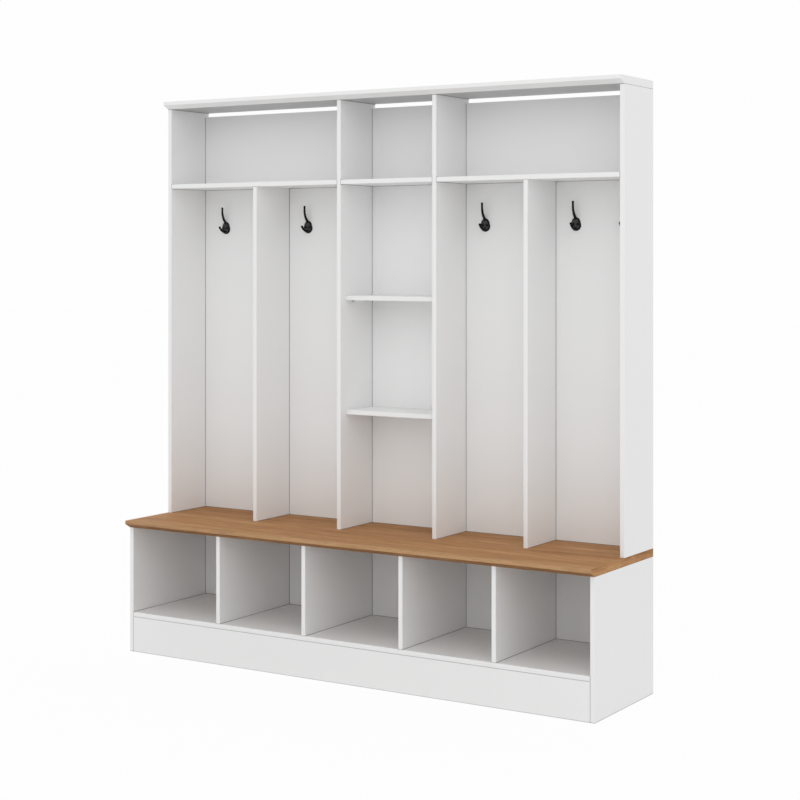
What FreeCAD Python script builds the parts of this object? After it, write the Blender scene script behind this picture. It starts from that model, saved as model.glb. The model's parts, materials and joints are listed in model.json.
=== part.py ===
import FreeCAD, Part
import Sketcher
import math
import os
import re

from FreeCAD import Placement, Rotation, Vector

# Driving sizes, in millimetres. The front looks along -Y, and X runs from left to right.
SIZES = {
    # clear widths of the five bays, from left to right
    "bay_1": 359,
    "bay_2": 332,
    "bay_3": 354,
    "bay_4": 316,
    "bay_5": 313,
    # boards
    "panel": 15,
    "bench_top_thick": 26,
    "top_board_thick": 25,
    "edge_ease": 0.8,
    # heights above the floor, and of the spaces stacked on the seat
    "deck_height": 135.5,
    "seat_height": 451,
    "coat_bay_height": 1144,
    "top_cell_height": 265,
    "centre_cell_low": 379.5,
    "centre_cell_middle": 364.5,
    "hook_drop": 137,
    # depths
    "bench_depth": 413,
    "hutch_depth": 210,
    "overhang": 25,
    "back_inset": 3,
    "centre_setback": 32,
    # bevelled nose of the seat and of the top board
    "nose_face": 12,
    "nose_run": 25,
    # gaps
    "kick_gap": 2.5,
    "slot_height": 15,
    "shelf_play": 1,
    "shelf_rest_gap": 0.3,
    "hole_play": 0.15,
    "hole_spare": 0.5,
    # places of the joints along a board's edge
    "joint_inset": 37,
    "joint_pitch": 32,
    "joint_stagger": 16,
    # knock-down hardware
    "dowel_radius": 4,
    "dowel_in_face": 9,
    "dowel_in_edge": 20,
    "bolt_radius": 3,
    "bolt_in_face": 9.5,
    "cam_radius": 7.5,
    "cam_depth": 11.5,
    "cam_setback": 34,
    "joint_head_radius": 4.5,
    "joint_head_high": 3,
    "joint_shank_radius": 2.6,
    "joint_screw_long": 50,
    "back_head_radius": 3.5,
    "back_head_high": 2,
    "back_shank_radius": 1.7,
    "back_screw_long": 35,
    "pan_head_radius": 3.1,
    "pan_head_high": 1.4,
    "pan_shank_radius": 1.6,
    "pan_screw_long": 14,
    "pin_radius": 2.9,
    "pin_in_board": 8,
    "pin_reach": 9,
    # joining plates at the rear of the seat
    "plate_wide": 10,
    "plate_above": 36,
    "plate_margin": 5,
    "plate_thick": 2,
    "plate_recess": 4,
    "plate_play": 0.3,
    "plate_screw_up": 26,
    # wall brackets in the slot under the top board
    "bracket_wide": 30,
    "bracket_deep": 40,
    "bracket_drop": 13.5,
    "bracket_thick": 2,
    "bracket_offset": 20,
    "bracket_hole_inset": 9,
    "wall_hole_radius": 2.25,
    "wall_hole_drop": 8,
    # cast double hooks
    "hook_spacing": 170,
    "hook_base_radius": 17.5,
    "hook_neck_half": 3.5,
    "hook_base_below": 3.5,
    "hook_neck_above": 20.5,
    "hook_base_thick": 5,
    "hook_base_taper": 28,
    "hook_screw_offset": 8,
    "long_prong_half": 2.7,
    "long_prong_wide": 5.6,
    "long_prong_out": 26,
    "long_prong_top": 74,
    "long_prong_bend": 54,
    "long_prong_straight": 12,
    "long_prong_root": 0.5,
    "short_prong_half": 2.8,
    "short_prong_wide": 7.6,
    "short_prong_out": 40,
    "short_prong_top": 7,
    "short_prong_straight": 2,
    "short_prong_bend": 20,
    "short_prong_root": 4,
}
# The hutch column that each bay stands in. Uprights are counted from 0 at the left side, and run
# the full height where the column changes; the others end under the upper shelves.
BAY_COLUMNS = ("left", "left", "centre", "right", "right")
BAYS = len(BAY_COLUMNS)
COLUMN_NAMES = tuple(dict.fromkeys(BAY_COLUMNS))
# Sides of the small hardware's drawn sections, and how far their flats stand out
ROUND_SIDES = 6
FLAT_REACH = math.cos(math.pi / ROUND_SIDES)

doc = FreeCAD.newDocument("hall_tree")
sheet = doc.addObject("Spreadsheet::Sheet", "Sizes")
for row, (alias, value) in enumerate(SIZES.items(), start=1):
    sheet.set(f"A{row}", alias)
    sheet.set(f"B{row}", str(value))
    sheet.setAlias(f"B{row}", alias)
doc.recompute()

# Planes of the object, as formulas in the sheet's words
WIDTH = "(" + " + ".join(f"bay_{bay}" for bay in range(1, BAYS + 1)) + f" + {BAYS + 1} * panel)"
LEFT = f"(-{WIDTH} / 2)"
REAR = "((bench_depth + overhang) / 2)"
BENCH_FRONT = f"({REAR} - bench_depth)"
HUTCH_FRONT = f"({REAR} - hutch_depth)"
BACK_REAR = f"({REAR} - back_inset)"
BACK_FACE = f"({BACK_REAR} - panel)"
BENCH_INSIDE = "(bench_depth - back_inset - panel)"
HUTCH_INSIDE = "(hutch_depth - back_inset - panel)"
DECK_UNDER = "(deck_height - panel)"
KICK_HIGH = f"({DECK_UNDER} - kick_gap)"
SEAT_UNDER = "(seat_height - bench_top_thick)"
UPPER_SHELF = "(seat_height + coat_bay_height)"
HOOK_LEVEL = f"({UPPER_SHELF} - hook_drop)"
CENTRE_SHELF_LOW = "(seat_height + centre_cell_low)"
CENTRE_SHELF_HIGH = f"({CENTRE_SHELF_LOW} + panel + centre_cell_middle)"
TOP_UNDER = f"({UPPER_SHELF} + panel + top_cell_height)"
TOTAL_HEIGHT = f"({TOP_UNDER} + top_board_thick)"
BACK_TOP = f"({TOP_UNDER} - slot_height)"

DIRECTIONS = {
    "+x": Vector(1, 0, 0),
    "-x": Vector(-1, 0, 0),
    "+y": Vector(0, 1, 0),
    "-y": Vector(0, -1, 0),
    "+z": Vector(0, 0, 1),
    "-z": Vector(0, 0, -1),
}


def column_ends(column):
    """The uprights at the left and the right of a column."""
    first = BAY_COLUMNS.index(column)
    return first, first + BAY_COLUMNS.count(column)


FULL_UPRIGHTS = sorted({end for column in COLUMN_NAMES for end in column_ends(column)})
HALF_UPRIGHTS = [index for index in range(BAYS) if index not in FULL_UPRIGHTS]


def upright_left(index):
    """X of the left face of an upright."""
    bays = "".join(f" + bay_{bay}" for bay in range(1, index + 1))
    return f"({LEFT} + {index} * panel{bays})"


def upright_middle(index):
    return f"({upright_left(index)} + panel / 2)"


def formula(text):
    """The same formula with every word naming its cell of the sheet."""
    return re.sub(r"[a-z]\w*", lambda word: "Sizes." + word[0], text)


def size(alias):
    return float(sheet.get(alias))


def bind(thing, **sizes):
    for name, text in sizes.items():
        thing.setExpression(name, formula(text))


def place(thing, at, rotation=Rotation()):
    thing.Placement = Placement(Vector(), rotation)
    for axis, text in zip("xyz", at):
        thing.setExpression(f"Placement.Base.{axis}", formula(text))


def box(name, corner, extent):
    solid = doc.addObject("Part::Box", name)
    bind(solid, Length=extent[0], Width=extent[1], Height=extent[2])
    place(solid, corner)
    return solid


def prism(name, sides, radius, height, start="0"):
    """A bar along Z whose round section is drawn with a few flat sides."""
    solid = doc.addObject("Part::Prism", name)
    solid.Polygon = sides
    bind(solid, Circumradius=radius, Height=height)
    place(solid, ("0", "0", start))
    return solid


def fuse(name, base, tool):
    union = doc.addObject("Part::Fuse", name)
    union.Base = base
    union.Tool = tool
    return union


def cut(name, base, tool):
    difference = doc.addObject("Part::Cut", name)
    difference.Base = base
    difference.Tool = tool
    return difference


def compound(name, members):
    group = doc.addObject("Part::Compound", name)
    group.Links = members
    return group


def copy_at(master, at, axis, side=None):
    """A placed copy whose Z runs along axis and whose X runs towards side."""
    along = DIRECTIONS[axis]
    across = DIRECTIONS[side or {"x": "+z", "y": "+x", "z": "+x"}[axis[1]]]
    link = doc.addObject("App::Link", master.Name + "_copy")
    link.LinkedObject = master
    link.LinkTransform = True
    place(link, at, Rotation(across, along.cross(across), along, "ZXY"))
    return link


# Boards: each starts as a plain blank and collects the tools that cut its joints
blanks = {}
cutters = {}


def board(name, corner, extent, eased=True):
    blank = box(name + "_blank", corner, extent)
    if eased:
        doc.recompute()
        bounds = blank.Shape.BoundBox
        longest = max(bounds.XLength, bounds.ZLength)
        edges = []
        for index, edge in enumerate(blank.Shape.Edges, start=1):
            at_front = edge.BoundBox.YMax < bounds.YMin + bounds.YLength / 2
            if at_front and abs(edge.Length - longest) < 1e-6:
                edges.append((index, size("edge_ease"), size("edge_ease")))
        chamfer = doc.addObject("Part::Chamfer", name + "_eased")
        chamfer.Base = blank
        chamfer.Edges = edges
        blank = chamfer
    blanks[name] = blank
    cutters[name] = []


def bench_upright(index):
    names = {0: "bench_side_left", BAYS: "bench_side_right"}
    return names.get(index, f"bench_divider_{index}")


def hutch_upright(index):
    names = {0: "hutch_side_left", BAYS: "hutch_side_right"}
    return names.get(index, f"hutch_divider_{index}")


def bench_boards():
    inside = f"({WIDTH} - 2 * panel)"
    inner_left = f"({LEFT} + panel)"
    for index in (0, BAYS):
        corner = (upright_left(index), BENCH_FRONT, "0")
        board(bench_upright(index), corner, ("panel", "bench_depth", SEAT_UNDER))
    for index in range(1, BAYS):
        corner = (upright_left(index), BENCH_FRONT, "deck_height")
        board(bench_upright(index), corner, ("panel", BENCH_INSIDE, f"{SEAT_UNDER} - deck_height"))
    corner = (inner_left, BENCH_FRONT, DECK_UNDER)
    board("bench_deck", corner, (inside, "bench_depth - back_inset", "panel"))
    board("kick_board", (inner_left, BENCH_FRONT, "0"), (inside, "panel", KICK_HIGH))
    corner = (inner_left, BACK_FACE, "0")
    board("plinth_rear_rail", corner, (inside, "panel", DECK_UNDER), eased=False)
    for number, index in enumerate(column_ends("centre"), start=1):
        corner = (upright_left(index), f"{BENCH_FRONT} + panel", "0")
        extent = ("panel", f"{BENCH_INSIDE} - panel", DECK_UNDER)
        board(f"plinth_brace_{number}", corner, extent, eased=False)
    corner = (inner_left, BACK_FACE, "deck_height")
    board("bench_back", corner, (inside, "panel", f"{SEAT_UNDER} - deck_height"), eased=False)


def hutch_boards():
    for index in range(BAYS + 1):
        corner = (upright_left(index), HUTCH_FRONT, "seat_height")
        extent = ("panel", "hutch_depth", f"{TOP_UNDER} - seat_height")
        if index in HALF_UPRIGHTS:
            extent = ("panel", HUTCH_INSIDE, "coat_bay_height")
        board(hutch_upright(index), corner, extent)
    for column in COLUMN_NAMES:
        first, last = column_ends(column)
        left = f"{upright_left(first)} + panel"
        wide = f"{upright_left(last)} - {upright_left(first)} - panel"
        board(f"upper_shelf_{column}", (left, HUTCH_FRONT, UPPER_SHELF), (wide, HUTCH_INSIDE, "panel"))
        extent = (wide, "panel", f"{BACK_TOP} - seat_height")
        board(f"hutch_back_{column}", (left, BACK_FACE, "seat_height"), extent, eased=False)
    first, last = column_ends("centre")
    left = f"({upright_left(first)} + panel + shelf_play)"
    wide = f"{upright_left(last)} - {left} - shelf_play"
    deep = f"{HUTCH_INSIDE} - centre_setback - shelf_play"
    for level, height in (("lower", CENTRE_SHELF_LOW), ("upper", CENTRE_SHELF_HIGH)):
        corner = (left, f"{HUTCH_FRONT} + centre_setback", height)
        board(f"centre_shelf_{level}", corner, (wide, deep, "panel"))


def sketch_on(body, role, name):
    sketch = body.newObject("Sketcher::SketchObject", name)
    plane = next(item for item in body.Origin.OriginFeatures if item.Role == role)
    sketch.AttachmentSupport = [(plane, "")]
    sketch.MapMode = "FlatFace"
    return sketch


def pin_point(sketch, geometry, end, across, up, first=Vector(1, 1, 0)):
    """Hold one end of a line or arc at a place given by two formulas, from a first guess."""
    for kind, text, guess in (("DistanceX", across, first.x), ("DistanceY", up, first.y)):
        row = sketch.addConstraint(Sketcher.Constraint(kind, -1, 1, geometry, end, guess))
        sketch.setExpression(f"Constraints[{row}]", formula(text))


def outline(sketch, points):
    """A closed outline of straight lines through points given by formulas."""
    count = len(points)
    turns = [2 * math.pi * index / count for index in range(count)]
    corners = [Vector(math.cos(turn), math.sin(turn), 0) for turn in turns]
    for index in range(count):
        sketch.addGeometry(Part.LineSegment(corners[index], corners[(index + 1) % count]), False)
    for index in range(count):
        joined = Sketcher.Constraint("Coincident", index, 2, (index + 1) % count, 1)
        sketch.addConstraint(joined)
    for index, (across, up) in enumerate(points):
        pin_point(sketch, index, 1, across, up)


def nosed_board(name, front, under, top):
    """A board over the full width with a bevel under its front edge."""
    body = doc.addObject("PartDesign::Body", name + "_blank")
    profile = sketch_on(body, "YZ_Plane", name + "_profile")
    points = (
        (REAR, under),
        (REAR, top),
        (front, top),
        (front, f"{top} - nose_face"),
        (f"{front} + nose_run", under),
    )
    outline(profile, points)
    pad = body.newObject("PartDesign::Pad", name + "_pad")
    pad.Profile = profile
    pad.SideType = "Symmetric"
    bind(pad, Length=WIDTH)
    blanks[name] = body
    cutters[name] = []


# Knock-down hardware: one master each, with its origin on the joint and Z into the second board
def dowel_masters():
    length = "dowel_in_face + dowel_in_edge"
    dowel = prism("dowel", ROUND_SIDES, "dowel_radius", length, "-dowel_in_face")
    long_hole = f"{length} + 2 * hole_spare"
    start = "-dowel_in_face - hole_spare"
    hole = prism("dowel_hole", ROUND_SIDES, "dowel_radius + hole_play", long_hole, start)
    return dowel, hole


def cam_disc_blank(name, radius, depth):
    disc = prism(name, ROUND_SIDES, radius, depth)
    place(disc, ("panel / 2 - cam_depth", "0", "cam_setback"), Rotation(Vector(0, 1, 0), 90))
    return disc


def cam_masters():
    """A cam disc let into the board's face, the bolt that it grips, and their holes."""
    bolt_length = "bolt_in_face + cam_setback"
    bolt = prism("cam_bolt", ROUND_SIDES, "bolt_radius", bolt_length, "-bolt_in_face")
    half = "(bolt_radius + 2 * hole_play)"
    corner = (f"-{half}", f"-{half}", "cam_setback - 2 * cam_radius")
    mouth = box("cam_mouth", corner, (f"2 * {half}", f"2 * {half}", f"2 * cam_radius + {half}"))
    disc = cut("cam_disc", cam_disc_blank("cam_disc_blank", "cam_radius", "cam_depth"), mouth)
    start = "-bolt_in_face - hole_spare"
    bore = prism("bolt_bore", ROUND_SIDES, "bolt_radius + hole_play", f"{bolt_length} + hole_spare", start)
    pocket = cam_disc_blank("cam_pocket", "cam_radius + hole_play", "cam_depth + hole_spare")
    return bolt, disc, fuse("cam_hole", bore, pocket)


def screw_masters(name, head, head_high, shank, length, head_start):
    """A screw along Z from the face it is driven into, and the hole that it turns in."""
    top = prism(name + "_head", ROUND_SIDES, head, head_high, head_start)
    screw = fuse(name, top, prism(name + "_shank", ROUND_SIDES, shank, length))
    bore = prism(name + "_bore", ROUND_SIDES, f"{shank} + hole_play", f"{length} + hole_spare")
    if head_start != "0":
        return screw, bore
    sink = prism(name + "_sink", ROUND_SIDES, f"{head} + hole_play", f"{head_high} + hole_play")
    return screw, fuse(name + "_hole", bore, sink)


hardware = {
    "dowels": [],
    "cam_bolts": [],
    "cam_discs": [],
    "joint_screws": [],
    "back_screws": [],
    "plate_screws": [],
    "bracket_screws": [],
    "hook_screws": [],
    "shelf_pins": [],
    "joining_plates": [],
}
dowel_master, dowel_hole = dowel_masters()
bolt_master, disc_master, cam_hole = cam_masters()
joint_screw, joint_screw_hole = screw_masters(
    "joint_screw", "joint_head_radius", "joint_head_high",
    "joint_shank_radius", "joint_screw_long", "0",
)
back_screw, back_screw_hole = screw_masters(
    "back_screw", "back_head_radius", "back_head_high",
    "back_shank_radius", "back_screw_long", "0",
)
pan_screw, pan_screw_hole = screw_masters(
    "pan_screw", "pan_head_radius", "pan_head_high",
    "pan_shank_radius", "pan_screw_long", "-pan_head_high",
)


def drill(hole, names):
    for name in names:
        cutters[name].append(hole)


def dowel_joint(face_board, edge_board, at, axis):
    hardware["dowels"].append(copy_at(dowel_master, at, axis))
    drill(copy_at(dowel_hole, at, axis), (face_board, edge_board))


def cam_joint(face_board, edge_board, at, axis, opening):
    hardware["cam_bolts"].append(copy_at(bolt_master, at, axis, opening))
    hardware["cam_discs"].append(copy_at(disc_master, at, axis, opening))
    drill(copy_at(cam_hole, at, axis, opening), (face_board, edge_board))


def screw_joint(kind, first, second, at, axis):
    screw, hole = {
        "joint_screws": (joint_screw, joint_screw_hole),
        "back_screws": (back_screw, back_screw_hole),
    }[kind]
    hardware[kind].append(copy_at(screw, at, axis))
    drill(copy_at(hole, at, axis), (first, second))


def inner_faces(first, last):
    """The faces that two uprights turn to each other: index, X and the way into the space."""
    return (first, f"({upright_left(first)} + panel)", "+x"), (last, upright_left(last), "-x")


def plinth_joints():
    """The deck, the kick board and the rear rail between the sides, and the braces between them."""
    deck_middle = "deck_height - panel / 2"
    for index, x, axis in inner_faces(0, BAYS):
        side = bench_upright(index)
        dowel_joint(side, "bench_deck", (x, f"{BENCH_FRONT} + joint_inset", deck_middle), axis)
        at = (x, f"{BACK_FACE} - joint_inset - joint_pitch", deck_middle)
        cam_joint(side, "bench_deck", at, axis, "-z")
        kick_y = f"{BENCH_FRONT} + panel / 2"
        cam_joint(side, "kick_board", (x, kick_y, f"{KICK_HIGH} / 2"), axis, "+y")
        cam_joint(side, "plinth_rear_rail", (x, f"{BACK_FACE} + panel / 2", f"{KICK_HIGH} / 2"), axis, "-y")
    for number, index in enumerate(column_ends("centre"), start=1):
        brace = f"plinth_brace_{number}"
        x = upright_middle(index)
        dowel_joint("kick_board", brace, (x, f"{BENCH_FRONT} + panel", f"{KICK_HIGH} / 2"), "+y")
        dowel_joint("plinth_rear_rail", brace, (x, BACK_FACE, f"{KICK_HIGH} / 2"), "-y")


def bench_joints():
    """Dividers on the deck and the seat on all the uprights; cams face where they are least seen."""
    for index in range(1, BAYS):
        x = upright_middle(index)
        name = bench_upright(index)
        dowel_joint("bench_deck", name, (x, f"{BENCH_FRONT} + joint_inset", "deck_height"), "+z")
        rear_y = f"{BACK_FACE} - joint_inset"
        screw_joint("joint_screws", "bench_deck", name, (x, rear_y, DECK_UNDER), "+z")
        screw_joint("back_screws", "bench_back", name, (x, BACK_REAR, f"(deck_height + {SEAT_UNDER}) / 2"), "-y")
    for index in range(BAYS + 1):
        x = upright_middle(index)
        name = bench_upright(index)
        dowel_joint("bench_top", name, (x, f"{BENCH_FRONT} + joint_inset", SEAT_UNDER), "-z")
        at = (x, f"{BACK_FACE} - joint_inset - joint_pitch", SEAT_UNDER)
        if index in (0, BAYS):
            cam_joint("bench_top", name, at, "-z", "+x" if index == 0 else "-x")
        else:
            dowel_joint("bench_top", name, at, "-z")


def hutch_joints():
    """Uprights on the seat and under the top board, shelves between them, boards behind them."""
    front_y = f"({HUTCH_FRONT} + joint_inset)"
    rear_y = f"({BACK_FACE} - joint_inset)"
    for index in range(BAYS + 1):
        for y in (front_y, rear_y):
            dowel_joint("bench_top", hutch_upright(index), (upright_middle(index), y, "seat_height"), "+z")
    for index in FULL_UPRIGHTS:
        for y in (front_y, rear_y):
            at = (upright_middle(index), y, TOTAL_HEIGHT)
            screw_joint("joint_screws", "top_board", hutch_upright(index), at, "-z")
    for column in COLUMN_NAMES:
        shelf = f"upper_shelf_{column}"
        back = f"hutch_back_{column}"
        stagger = "joint_stagger" if column == "centre" else "0"
        for index, x, axis in inner_faces(*column_ends(column)):
            middle = f"{UPPER_SHELF} + panel / 2"
            upright = hutch_upright(index)
            dowel_joint(upright, shelf, (x, f"{front_y} + {stagger}", middle), axis)
            at = (x, f"{front_y} + 2 * joint_pitch + {stagger}", middle)
            cam_joint(upright, shelf, at, axis, "+z")
            height = f"(seat_height + {BACK_TOP}) / 2 + 2 * {stagger}"
            dowel_joint(upright, back, (x, f"{BACK_FACE} + panel / 2", height), axis)
            at = (f"{x} {axis[0]} 2 * joint_inset", BACK_REAR, middle)
            screw_joint("back_screws", back, shelf, at, "-y")
    for index in HALF_UPRIGHTS:
        name = hutch_upright(index)
        column = BAY_COLUMNS[index]
        x = upright_middle(index)
        at = (x, f"{front_y} + joint_pitch", f"{UPPER_SHELF} + panel")
        screw_joint("joint_screws", f"upper_shelf_{column}", name, at, "-z")
        for height in ("seat_height + 4 * joint_inset", f"{UPPER_SHELF} - 4 * joint_inset"):
            screw_joint("back_screws", f"hutch_back_{column}", name, (x, BACK_REAR, height), "-y")


def shelf_pins():
    """Pins with a flat top under the loose shelves of the centre bay."""
    shift = "-pin_in_board"
    pin = prism("shelf_pin", ROUND_SIDES, "pin_radius", "pin_in_board + pin_reach", shift)
    start = "-pin_in_board - hole_spare"
    hole = prism("shelf_pin_hole", ROUND_SIDES, "pin_radius + hole_play", "pin_in_board + 2 * hole_spare", start)
    for height in (CENTRE_SHELF_LOW, CENTRE_SHELF_HIGH):
        for y in (f"{HUTCH_FRONT} + centre_setback + joint_inset", f"{BACK_FACE} - joint_inset"):
            for index, x, axis in inner_faces(*column_ends("centre")):
                at = (x, y, f"{height} - shelf_rest_gap - pin_radius * {FLAT_REACH}")
                hardware["shelf_pins"].append(copy_at(pin, at, axis, "+y"))
                drill(copy_at(hole, at, axis, "+y"), (hutch_upright(index),))


def joining_plates():
    """Steel plates let into the rear edges, which tie the hutch's uprights to the seat."""
    low = "(plate_margin - bench_top_thick)"
    high = f"(plate_above - {low})"
    blank = box("plate_blank", ("-plate_wide / 2", low, "0"), ("plate_wide", high, "plate_thick"))
    holes = []
    for number, up in enumerate(("-bench_top_thick / 2", "plate_screw_up"), start=1):
        hole = prism(f"plate_hole_{number}", ROUND_SIDES, "pan_shank_radius + hole_play", "plate_thick")
        place(hole, ("0", up, "0"))
        holes.append(hole)
    plate = cut("joining_plate", blank, compound("plate_holes", holes))
    corner = ("-plate_wide / 2 - plate_play", f"{low} - plate_play", "0")
    extent = ("plate_wide + 2 * plate_play", f"{high} + 2 * plate_play", "plate_recess")
    recess = box("plate_recess_tool", corner, extent)
    for index in (0, BAYS):
        names = ("bench_top", hutch_upright(index))
        x = upright_middle(index)
        floor = f"{REAR} - plate_recess"
        hardware["joining_plates"].append(copy_at(plate, (x, floor, "seat_height"), "+y", "-x"))
        drill(copy_at(recess, (x, floor, "seat_height"), "+y", "-x"), names)
        heights = ("seat_height - bench_top_thick / 2", "seat_height + plate_screw_up")
        for name, height in zip(names, heights):
            at = (x, f"{floor} + plate_thick", height)
            hardware["plate_screws"].append(copy_at(pan_screw, at, "-y"))
            drill(copy_at(pan_screw_hole, at, "-y"), (name,))


def wall_bracket(name, index):
    """A bent steel angle under the top board whose short leg takes the screw to the wall."""
    body = doc.addObject("PartDesign::Body", name)
    profile = sketch_on(body, "YZ_Plane", name + "_profile")
    points = (
        (REAR, TOP_UNDER),
        (f"{REAR} - bracket_deep", TOP_UNDER),
        (f"{REAR} - bracket_deep", f"{TOP_UNDER} - bracket_thick"),
        (f"{REAR} - bracket_thick", f"{TOP_UNDER} - bracket_thick"),
        (f"{REAR} - bracket_thick", f"{TOP_UNDER} - bracket_drop"),
        (REAR, f"{TOP_UNDER} - bracket_drop"),
    )
    outline(profile, points)
    pad = body.newObject("PartDesign::Pad", name + "_pad")
    pad.Profile = profile
    pad.SideType = "Symmetric"
    bind(pad, Length="bracket_wide")
    middle = f"{upright_left(index)} - bracket_offset - bracket_wide / 2"
    place(body, (middle, "0", "0"))
    holes = []
    for sign in ("+", "-"):
        x = f"{middle} {sign} (bracket_wide / 2 - bracket_hole_inset)"
        at = (x, f"{REAR} - bracket_deep + bracket_hole_inset", f"{TOP_UNDER} - bracket_thick")
        hardware["bracket_screws"].append(copy_at(pan_screw, at, "+z"))
        hole = copy_at(pan_screw_hole, at, "+z")
        drill(hole, ("top_board",))
        holes.append(hole)
    wall_hole = doc.addObject("Part::Cylinder", name + "_wall_hole")
    bind(wall_hole, Radius="wall_hole_radius", Height="3 * bracket_thick")
    place(wall_hole, (middle, f"{REAR} - 2 * bracket_thick", f"{TOP_UNDER} - wall_hole_drop"),
          Rotation(Vector(1, 0, 0), -90))
    return cut(name + "_drilled", body, compound(name + "_holes", holes + [wall_hole]))


def egg_outline(sketch):
    """A round foot that draws in along two tangents to a narrow blunt neck."""
    base, half = size("hook_base_radius"), size("hook_neck_half")
    low, high = -size("hook_base_below"), size("hook_neck_above")
    foot = Part.ArcOfCircle(Part.Circle(Vector(0, low, 0), Vector(0, 0, 1), base), -3.7, 0.6)
    neck = (Vector(half, high, 0), Vector(-half, high, 0))
    sketch.addGeometry(foot, False)
    sketch.addGeometry(Part.LineSegment(foot.EndPoint, neck[0]), False)
    sketch.addGeometry(Part.LineSegment(*neck), False)
    sketch.addGeometry(Part.LineSegment(neck[1], foot.StartPoint), False)
    sketch.addConstraint(Sketcher.Constraint("Tangent", 0, 2, 1, 1))
    sketch.addConstraint(Sketcher.Constraint("Coincident", 1, 2, 2, 1))
    sketch.addConstraint(Sketcher.Constraint("Coincident", 2, 2, 3, 1))
    sketch.addConstraint(Sketcher.Constraint("Tangent", 3, 2, 0, 1))
    pin_point(sketch, 0, 3, "0", "-hook_base_below", Vector(0, low, 0))
    pin_point(sketch, 2, 1, "hook_neck_half", "hook_neck_above", neck[0])
    pin_point(sketch, 2, 2, "-hook_neck_half", "hook_neck_above", neck[1])
    row = sketch.addConstraint(Sketcher.Constraint("Radius", 0, base))
    sketch.setExpression(f"Constraints[{row}]", formula("hook_base_radius"))


def prong(body, name, half, wide, out, tip, straight, bend, root):
    """A bar with flat sides: an upright tip, a round bend, and a root that ends inside the foot."""
    sketch = sketch_on(body, "YZ_Plane", name + "_outline")
    centre = Vector(size(bend) - size(out), size(tip) - size(straight), 0)
    for number, sign in enumerate("+-"):
        radius = size(bend) + float(sign + "1") * size(half)
        root_angle = -math.acos((-size(root) - centre.x) / radius)
        circle = Part.Circle(centre, Vector(0, 0, 1), radius)
        arc = Part.ArcOfCircle(circle, -math.pi, root_angle)
        start = arc.StartPoint
        top = start + Vector(0, size(straight), 0)
        sketch.addGeometry(arc, False)
        sketch.addGeometry(Part.LineSegment(top, start), False)
        bow, stem = 2 * number, 2 * number + 1
        sketch.addConstraint(Sketcher.Constraint("Coincident", stem, 2, bow, 1))
        pin_point(sketch, bow, 3, f"{bend} - {out}", f"{tip} - {straight}", centre)
        across = f"-{out} - ({sign}{half})"
        pin_point(sketch, bow, 1, across, f"{tip} - {straight}", start)
        pin_point(sketch, stem, 1, across, tip, top)
        row = sketch.addConstraint(Sketcher.Constraint("DistanceX", -1, 1, bow, 2, -size(root)))
        sketch.setExpression(f"Constraints[{row}]", formula(f"-{root}"))
    for outer, inner, end in ((1, 3, 1), (0, 2, 2)):
        ends = [sketch.getPoint(item, end) for item in (outer, inner)]
        line = sketch.addGeometry(Part.LineSegment(*ends), False)
        sketch.addConstraint(Sketcher.Constraint("Coincident", line, 1, outer, end))
        sketch.addConstraint(Sketcher.Constraint("Coincident", line, 2, inner, end))
    bar = body.newObject("PartDesign::Pad", name)
    bar.Profile = sketch
    bar.SideType = "Symmetric"
    bind(bar, Length=wide)


def hook_master():
    """A cast hook: egg-shaped foot, long upper prong and short lower one, with two screw holes."""
    body = doc.addObject("PartDesign::Body", "hook_casting")
    foot_outline = sketch_on(body, "XZ_Plane", "hook_foot_outline")
    egg_outline(foot_outline)
    foot = body.newObject("PartDesign::Pad", "hook_foot")
    foot.Profile = foot_outline
    bind(foot, Length="hook_base_thick", TaperAngle="-hook_base_taper")
    doc.recompute()
    for name in ("long_prong", "short_prong"):
        words = ("half", "wide", "out", "top", "straight", "bend", "root")
        prong(body, name, *(f"{name}_{word}" for word in words))
    holes = []
    for sign in ("", "-"):
        at = (f"{sign}hook_screw_offset", "-hook_base_thick", "0")
        holes.append(copy_at(pan_screw_hole, at, "+y"))
    return cut("hook_drilled", body, compound("hook_holes", holes))


def coat_hooks():
    """Two hooks in each coat bay, evenly about its middle, screwed to the back board."""
    casting = hook_master()
    hooks = []
    for bay, column in enumerate(BAY_COLUMNS, start=1):
        if column == "centre":
            continue
        for side in "-+":
            x = f"({upright_left(bay)} - bay_{bay} / 2 {side} hook_spacing / 2)"
            hooks.append(copy_at(casting, (x, BACK_FACE, HOOK_LEVEL), "+z"))
            for screw_side in "-+":
                screw_x = f"{x} {screw_side} hook_screw_offset"
                at = (screw_x, f"{BACK_FACE} - hook_base_thick", HOOK_LEVEL)
                hardware["hook_screws"].append(copy_at(pan_screw, at, "+y"))
                drill(copy_at(pan_screw_hole, at, "+y"), (f"hutch_back_{column}",))
    return hooks


doc.recompute()
bench_boards()
hutch_boards()
nosed_board("bench_top", f"({BENCH_FRONT} - overhang)", SEAT_UNDER, "seat_height")
nosed_board("top_board", f"({HUTCH_FRONT} - overhang)", TOP_UNDER, TOTAL_HEIGHT)
plinth_joints()
bench_joints()
hutch_joints()
shelf_pins()
joining_plates()
nodes = {"coat_hooks": compound("coat_hooks", coat_hooks())}
for side, index in zip(("left", "right"), column_ends("centre")):
    nodes[f"wall_bracket_{side}"] = wall_bracket(f"bracket_{side}", index)
for name, blank in blanks.items():
    if cutters[name]:
        nodes[name] = cut(name, blank, compound(name + "_tools", cutters[name]))
    else:
        nodes[name] = blank
for name, members in hardware.items():
    if members:
        nodes[name] = compound(name, members)
doc.recompute()

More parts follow.
